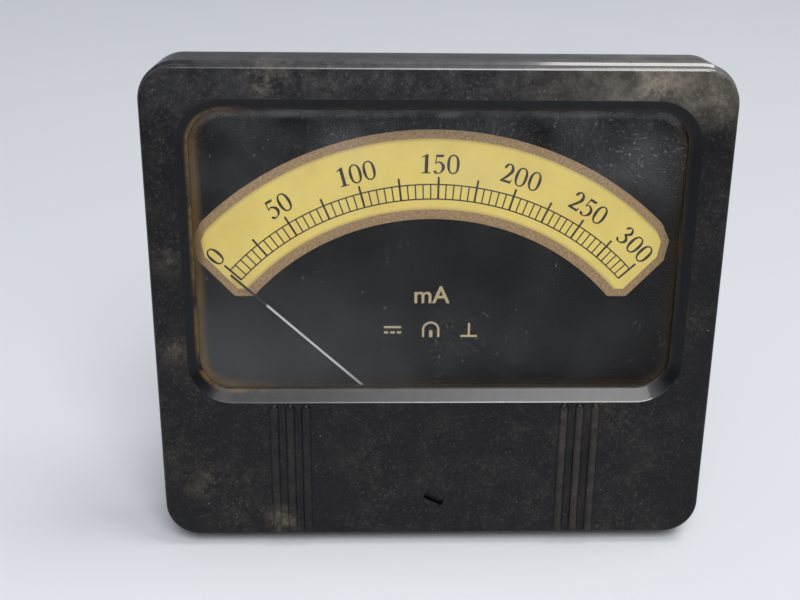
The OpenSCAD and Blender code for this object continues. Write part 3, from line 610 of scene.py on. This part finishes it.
def dark_ink(at):
    worn = at.noise(0.8 * mm, 3.0, 0.6).span(0.55, 0.8) * 0.25
    return {
        "Base Color": worn.tint(colour(48, 41, 32), colour(104, 86, 50)),
        "Roughness": 0.5 + worn,
        "Normal": at.noise(0.3 * mm).bump(0.08, 0.02 * mm),
    }


black_print = finish("dark_ink", dark_ink)
line_width = 0.26 * mm
major_width = 0.42 * mm
mark_shape = bmesh.new()
for mark in range(scale_marks + 1):
    is_major = mark % marks_per_major == 0
    outer = major_outer if is_major else ring_outer
    width = major_width if is_major else line_width
    bmesh.ops.create_grid(
        mark_shape, x_segments=1, y_segments=1, size=0.5,
        matrix=Matrix.Rotation(-mark_angle(mark), 4, "Z")
        @ Matrix.Translation((0, (ring_inner + outer) / 2, 0))
        @ Matrix.Diagonal((width, outer - ring_inner, 1, 1)),
    )
printed("dial_marks", mark_shape, mark_height, black_print)
ring_shape = bmesh.new()
for radius in (ring_inner, ring_outer):
    inner = radius - line_width / 2
    sector(ring_shape, inner, inner + line_width, mark_angle(0), mark_angle(scale_marks))
printed("dial_rings", ring_shape, ring_height, black_print)

# Outlines of the figures, one unit high. "s" marks a point on a curve, and "c" a corner.
figures = {
    "0": (0.62, [
        [(0.30, 1.01, "s"), (0.0, 0.5, "s"), (0.30, -0.01, "s"), (0.60, 0.5, "s")],
        [(0.30, 0.94, "s"), (0.14, 0.5, "s"), (0.30, 0.06, "s"), (0.46, 0.5, "s")],
    ]),
    "1": (0.52, [
        [(0.05, 0.0, "c"), (0.47, 0.0, "c"), (0.47, 0.045, "c"), (0.34, 0.07, "c"), (0.34, 1.0, "c"),
         (0.28, 1.0, "c"), (0.03, 0.86, "c"), (0.05, 0.82, "c"), (0.18, 0.87, "c"), (0.18, 0.07, "c"),
         (0.05, 0.045, "c")],
    ]),
    "2": (0.60, [
        [(0.02, 0.0, "c"), (0.53, 0.0, "c"), (0.565, 0.22, "c"), (0.53, 0.22, "c"), (0.48, 0.125, "c"),
         (0.20, 0.125, "c"), (0.38, 0.36, "s"), (0.53, 0.73, "s"), (0.28, 1.01, "s"), (0.04, 0.79, "s"),
         (0.09, 0.70, "s"), (0.16, 0.77, "s"), (0.26, 0.94, "s"), (0.38, 0.72, "s"), (0.24, 0.38, "s"),
         (0.02, 0.06, "c")],
    ]),
    "3": (0.60, [
        [(0.05, 0.80, "s"), (0.27, 1.01, "s"), (0.50, 0.77, "s"), (0.37, 0.545, "c"), (0.55, 0.28, "s"),
         (0.24, -0.01, "s"), (0.03, 0.09, "s"), (0.06, 0.165, "s"), (0.13, 0.14, "s"), (0.24, 0.05, "s"),
         (0.40, 0.28, "s"), (0.19, 0.50, "c"), (0.19, 0.535, "c"), (0.36, 0.76, "s"), (0.26, 0.945, "s"),
         (0.10, 0.77, "s")],
    ]),
    "5": (0.60, [
        [(0.13, 0.99, "c"), (0.52, 0.99, "c"), (0.46, 0.86, "c"), (0.17, 0.86, "c"), (0.145, 0.60, "c"),
         (0.30, 0.645, "s"), (0.56, 0.335, "s"), (0.24, -0.01, "s"), (0.03, 0.085, "s"), (0.055, 0.16, "s"),
         (0.13, 0.145, "s"), (0.24, 0.045, "s"), (0.41, 0.32, "s"), (0.25, 0.575, "s"), (0.11, 0.50, "c"),
         (0.085, 0.50, "c")],
    ]),
}
figure_height = 3.9 * mm
figure_width = 1.08
figure_gap = 0.06
figure_radius = 60.2 * mm
# The numbers stand a little to the right of their marks. The last two are set back from there, so that
# they clear the border.
figure_lead = radians(0.35)
set_back = {250: radians(0.7), 300: radians(3.3)}


def outline_mesh(data, height):
    """Mesh of a filled flat outline or text, of that thickness."""
    data.extrude = (height + sink) / 2
    holder = bpy.data.objects.new("outline", data)
    bpy.context.scene.collection.objects.link(holder)
    seen = bpy.context.evaluated_depsgraph_get()
    mesh = bpy.data.meshes.new_from_object(holder.evaluated_get(seen))
    bpy.data.objects.remove(holder)
    return mesh


def join_outline(shape, data, height, place):
    """Adds a filled outline to a print's mesh, at its place in the dial's own plane."""
    before = set(shape.verts)
    mesh = outline_mesh(data, height)
    shape.from_mesh(mesh)
    bpy.data.meshes.remove(mesh)
    made = [vert for vert in shape.verts if vert not in before]
    lift = Matrix.Translation((0, 0, (height - sink) / 2))
    bmesh.ops.transform(shape, matrix=dial_place @ lift @ place, verts=made)
    bmesh.ops.remove_doubles(shape, verts=made, dist=1e-7)


def figure_curve(figure):
    curve = bpy.data.curves.new("figure", "CURVE")
    curve.dimensions = "2D"
    curve.fill_mode = "BOTH"
    curve.resolution_u = 8
    for points in figures[figure][1]:
        spline = curve.splines.new("BEZIER")
        spline.use_cyclic_u = True
        spline.bezier_points.add(len(points) - 1)
        for point, (x, y, kind) in zip(spline.bezier_points, points):
            point.co = (x * figure_width * figure_height, y * figure_height, 0)
            point.handle_left_type = "AUTO" if kind == "s" else "VECTOR"
            point.handle_right_type = point.handle_left_type
    return curve


number_shape = bmesh.new()
for number in range(scale_marks // marks_per_number + 1):
    value = number * number_step
    text = str(value)
    advances = [figures[figure][0] * figure_width + figure_gap for figure in text]
    start = -sum(advances) / 2 * figure_height
    angle = mark_angle(number * marks_per_number) + figure_lead - set_back.get(value, 0)
    turn = Matrix.Rotation(-angle, 4, "Z")
    for figure, advance in zip(text, advances):
        place = turn @ Matrix.Translation((start, figure_radius - figure_height / 2, 0))
        join_outline(number_shape, figure_curve(figure), mark_height, place)
        start += advance * figure_height
print_piece("dial_numbers", number_shape, black_print)


def cream_ink(at):
    worn = at.noise(0.7 * mm, 3.0, 0.6).span(0.5, 0.8) * 0.4
    return {
        "Base Color": worn.tint(colour(201, 181, 142), colour(128, 112, 84)),
        "Roughness": 0.6,
        "Normal": at.noise(0.3 * mm).bump(0.08, 0.02 * mm),
    }


cream_print = finish("cream_ink", cream_ink)
unit_height = 5.2 * mm
unit_centre = 32.7 * mm
unit_text = bpy.data.curves.new("unit", "FONT")
unit_text.body = "mA"
unit_text.size = unit_height
unit_text.align_x = "CENTER"
unit_text.offset = 0.06 * mm
unit_line = unit_centre - unit_height * 0.35
unit_shape = bmesh.new()
join_outline(unit_shape, unit_text, cream_height, Matrix.Translation((0, unit_line, 0)))
print_piece("dial_unit", unit_shape, cream_print)

# Signs for direct current, a moving coil and upright use.
sign_centre = 24.9 * mm
sign_gap = 8 * mm
sign_line = 0.45 * mm
current_width = 3.6 * mm
current_rise = 0.6 * mm
dash_width = 0.9 * mm
dash_step = 1.35 * mm
magnet_radius = 1.6 * mm
magnet_leg = 1.6 * mm
leg_gap = 0.02 * mm
coil_width = 0.7 * mm
coil_height = 1.5 * mm
coil_drop = 0.9 * mm
foot_width = 3.4 * mm
foot_drop = 1.4 * mm
upright_height = 2.65 * mm
upright_middle = sign_centre - foot_drop + (sign_line + upright_height) / 2
sign_shape = bmesh.new()


def bar(shape, x, y, width, height):
    bmesh.ops.create_grid(
        shape, x_segments=1, y_segments=1, size=0.5,
        matrix=Matrix.Translation((x, y, 0)) @ Matrix.Diagonal((width, height, 1, 1)),
    )


bar(sign_shape, -sign_gap, sign_centre + current_rise, current_width, sign_line)
for dash in (-1, 0, 1):
    bar(sign_shape, -sign_gap + dash * dash_step, sign_centre - current_rise, dash_width, sign_line)
before = set(sign_shape.verts)
sector(sign_shape, magnet_radius - sign_line / 2, magnet_radius + sign_line / 2, radians(-90), radians(90))
arch = [vert for vert in sign_shape.verts if vert not in before]
bmesh.ops.translate(sign_shape, verts=arch, vec=(0, sign_centre, 0))
for side in (-1, 1):
    leg_middle = sign_centre - leg_gap - magnet_leg / 2
    bar(sign_shape, side * magnet_radius, leg_middle, sign_line, magnet_leg)
bar(sign_shape, 0, sign_centre - coil_drop, coil_width, coil_height)
bar(sign_shape, sign_gap, sign_centre - foot_drop, foot_width, sign_line)
bar(sign_shape, sign_gap, upright_middle, sign_line, upright_height)
printed("dial_signs", sign_shape, cream_height, cream_print)

# Pointer
# A thin alloy needle on the coil's front pivot. It is painted black over the scale and bare below it.
paint_start = 47 * mm
paint_edge = 0.3 * mm


def needle_paint(at):
    painted = at.distance(pivot.x, pivot.z).span(paint_start, paint_start + paint_edge)
    marks = at.noise(0.6 * mm, 2.0)
    return {
        "Base Color": painted.tint(colour(226, 226, 224), colour(26, 24, 22)),
        "Metallic": 0.25 - painted * 0.25,
        "Roughness": 0.42 + marks * 0.1,
        "Normal": marks.bump(0.1, 0.03 * mm),
    }


dress(finish("needle_paint", needle_paint), "pointer")

# Window
# Flat glass on a thin dark gasket, held behind the opening by a steel frame and small screws. It has a
# faint film of dust, heavier along its top, and a pale painted reflection over its lower part, strongest at
# the left.
def gasket_paper(at):
    fibre = at.noise(0.6 * mm, 3.0)
    return {
        "Base Color": fibre.tint(colour(44, 36, 28), colour(70, 56, 40)),
        "Roughness": 0.85,
        "Normal": fibre.bump(0.3, 0.08 * mm),
    }


window_low, window_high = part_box("window_glass")
glass_lap = 3 * mm
window_half = (window_high - window_low) / 2 - Vector((glass_lap, 0, glass_lap))
window_middle = (window_high + window_low) / 2
window_radius = 6.8 * mm
bevel_width = 2.4 * mm


def edge_distance(at):
    """Distance outwards from the window's opening, a rounded rectangle in X and Z."""
    across = (at.part("X") - window_middle.x).math("ABSOLUTE") - (window_half.x - window_radius)
    up = (at.part("Z") - window_middle.z).math("ABSOLUTE") - (window_half.z - window_radius)
    out_x = across.math("MAXIMUM", 0.0)
    out_z = up.math("MAXIMUM", 0.0)
    outside_corner = (out_x * out_x + out_z * out_z).math("SQRT")
    inside = across.math("MAXIMUM", up).math("MINIMUM", 0.0)
    return outside_corner + inside - window_radius


dress(finish("gasket_paper", gasket_paper), "glass_gasket")
dress(metal("frame_steel", colour(132, 131, 128), colour(98, 80, 62), 0.42, (1, 1, 6)), "glass_retainer")
dress(screw_steel, "retainer_screws", "case_screws")

glass_material = bpy.data.materials.new("window_glass")
glass_material.use_nodes = True
glass_tree = glass_material.node_tree
glass_at = Wire(glass_tree).node("ShaderNodeTexCoord", {}, {}, "Object")
outside = glass_at.node("ShaderNodeNewGeometry", {}, {}, "Normal").part("Y").span(-0.5, -0.9)
rim = edge_distance(glass_at)
at_left = glass_at.part("X").span(-30 * mm, -46 * mm)
at_top = glass_at.part("Z").span(window_high.z - 8 * mm, window_high.z - 4 * mm)
patchy = glass_at.noise(5 * mm, 5.0, 0.7).span(0.3, 0.7)
brown_dirt = rim.span(-2.2 * mm, -0.1 * mm) * (patchy * 0.6 + 0.4) * (at_left * 0.6 + 0.16)
grey_dust = rim.span(-2.2 * mm, -0.8 * mm) * patchy * at_top * 0.16
# Painted reflection: the lower part of the glass, most of all towards the left, is made paler, standing in
# for the pale table reflected there.
low = glass_at.part("Z").span(30 * mm, -8 * mm)
painted_reflection_veil = low * glass_at.part("X").span(20 * mm, -40 * mm) * 0.05
# The haze is heavier at the top from dust, and a little heavier low down as painted reflection.
upper = glass_at.part("Z").span(26 * mm, 44 * mm)
dust_and_reflection_haze = upper * 0.05 + low * 0.012 + 0.012
cloudy = glass_at.noise(12 * mm, 4.0, 0.6).span(0.3, 0.8) * dust_and_reflection_haze
grains = glass_at.specks(1.5 * mm, 0.25) * 0.6
# The film holds real dust and, low down, that painted reflection.
film = outside * (grey_dust + painted_reflection_veil + cloudy + grains)
glass_mirror = glass_at.node("ShaderNodeFresnel", {}, {"IOR": 1.18})
clear = glass_at.node("ShaderNodeBsdfTransparent", {}, {})
shine = glass_at.node("ShaderNodeBsdfGlossy", {}, {"Roughness": 0.04})
# Pale colour of the film, for both the dust and the painted reflection.
pale_dust_and_reflection = glass_at.node("ShaderNodeBsdfDiffuse", {}, {"Color": colour(186, 190, 198)})
brown = glass_at.node("ShaderNodeBsdfDiffuse", {}, {"Color": colour(104, 84, 54)})
bare = glass_at.node("ShaderNodeMixShader", {}, {0: glass_mirror, 1: clear, 2: shine})
edged = glass_at.node("ShaderNodeMixShader", {}, {0: outside * brown_dirt, 1: bare, 2: brown})
glazed = glass_at.node("ShaderNodeMixShader", {}, {0: film, 1: edged, 2: pale_dust_and_reflection})
glass_tree.links.new(glazed.socket, glass_tree.nodes["Material Output"].inputs["Surface"])
dress(glass_material, "window_glass")

# Cover
# The front of the case, moulded from glossy black phenolic resin. It has handled, dusty surfaces,
# rust-brown dirt along the window's edge, and brighter dust on everything that faces up.
reed_top = -7.6 * mm
face_depth = -16 * mm
top_middle_depth = -7 * mm
# Places of the dust smudges on the face, in X and Z, with their reach and how dense they are.
smudges = [
    (-32 * mm, -35 * mm, 5 * mm, 1.0),
    (-33 * mm, 59 * mm, 6 * mm, 1.0),
    (41 * mm, 58 * mm, 6 * mm, 1.0),
    (-53 * mm, 24 * mm, 6 * mm, 0.5),
    (-53 * mm, 4 * mm, 5 * mm, 0.5),
    (-50 * mm, -26 * mm, 7 * mm, 0.35),
]


def cover_moulding(at):
    normal = at.node("ShaderNodeNewGeometry", {}, {}, "Normal")
    along_x = at.part("X")
    along_y = at.part("Y")
    along_z = at.part("Z")
    rim = edge_distance(at)
    above_reeds = along_z.span(reed_top, reed_top + 0.1 * mm)
    upward = normal.part("Z").span(0.3, 0.75) * above_reeds
    bevel = rim.span(bevel_width, bevel_width - 0.3 * mm)
    rounded = normal.part("Z").span(0.15, 0.4) * normal.part("Z").span(0.995, 0.9) * above_reeds
    polished = rounded * (1 - bevel) * (along_x.span(-45 * mm, 15 * mm) * 0.9 + 0.1)
    cloud = at.noise(16 * mm, 4.0, 0.6).span(0.35, 0.75)
    grit = at.noise(0.6 * mm, 3.0, 0.75).span(0.5, 0.8)
    smear = at.noise(3.5 * mm, 5.0, 0.7).span(0.35, 0.75)
    top = along_z.span(48 * mm, 57 * mm)
    handled = top * along_x.span(5 * mm, 50 * mm) * (smear * 0.4 + 0.2)
    raised = along_y.span(face_depth - 0.2 * mm, face_depth - 0.6 * mm)
    crest = raised * (smear * 0.1 + 0.04) * (along_x.span(-20 * mm, 20 * mm) * 0.7 + 0.3)
    loose = grit * (cloud * 0.22 + top * 0.12 + 0.1) + smear * cloud * 0.1 + handled + crest
    for x, z, reach, density in smudges:
        patch = at.distance(x, z).span(reach, 0.0) * density
        loose = loose + patch * (smear * 0.5 + grit * 0.3)
    specked = (1 - bevel) * (loose + at.specks(1.5 * mm, 0.35) * 0.8)
    # Less of the up-facing grey along the middle of the top, so it is darker there, and more of it towards
    # the right.
    worn = (along_y - top_middle_depth).math("ABSOLUTE").span(5 * mm, 0.0) * 0.6
    settled = upward * (along_x.span(-50 * mm, 35 * mm) * 0.36 + 0.04 + smear * 0.12) * (1 - worn)
    film = top * (1 - bevel) * (smear * 0.1 + 0.05)
    near = rim.math("ABSOLUTE").span(0.9 * mm, 0.1 * mm)
    rust = near * at.noise(4 * mm, 4.0, 0.7).span(0.3, 0.6) * (along_x.span(-30 * mm, -46 * mm) * 0.6 + 0.1)
    tan_dust = specked.tint(colour(17, 17, 21), dust)
    grey_dust = (settled + film).tint(tan_dust, colour(126, 126, 130))
    return {
        "Base Color": rust.tint(grey_dust, colour(118, 94, 56)),
        "Roughness": 0.28 + specked * 0.4 + settled * 0.3,
        "Specular IOR Level": 0.2,
        "Coat Weight": polished + bevel * upward * along_x.span(-30 * mm, 45 * mm) * 0.3,
        "Coat Roughness": 0.08,
        "Coat IOR": 1.8,
        "Normal": grit.bump(0.03, 0.1 * mm),
    }


cover = smooth_copy("front_cover", finish("cover_moulding", cover_moulding))
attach(cover, "case")

# Zero adjuster
# A slotted black screw in the cover, which moves the outer end of the front spring. A thin brass
# washer behind the cover holds it. The floor of its slot is painted near black as shade.
slot_floor = face_depth + 0.9 * mm


def adjuster_moulding(at):
    look = cover_moulding(at)
    # Painted shade: the slot's floor is darkened to near black, where the recess would be in shade.
    slot_shade = at.part("Y").span(face_depth, slot_floor)
    return {**look, "Base Color": slot_shade.tint(look["Base Color"], colour(3, 3, 3))}


dress(finish("adjuster_moulding", adjuster_moulding), "zero_adjuster")
dress(nut_brass, "adjuster_washer")
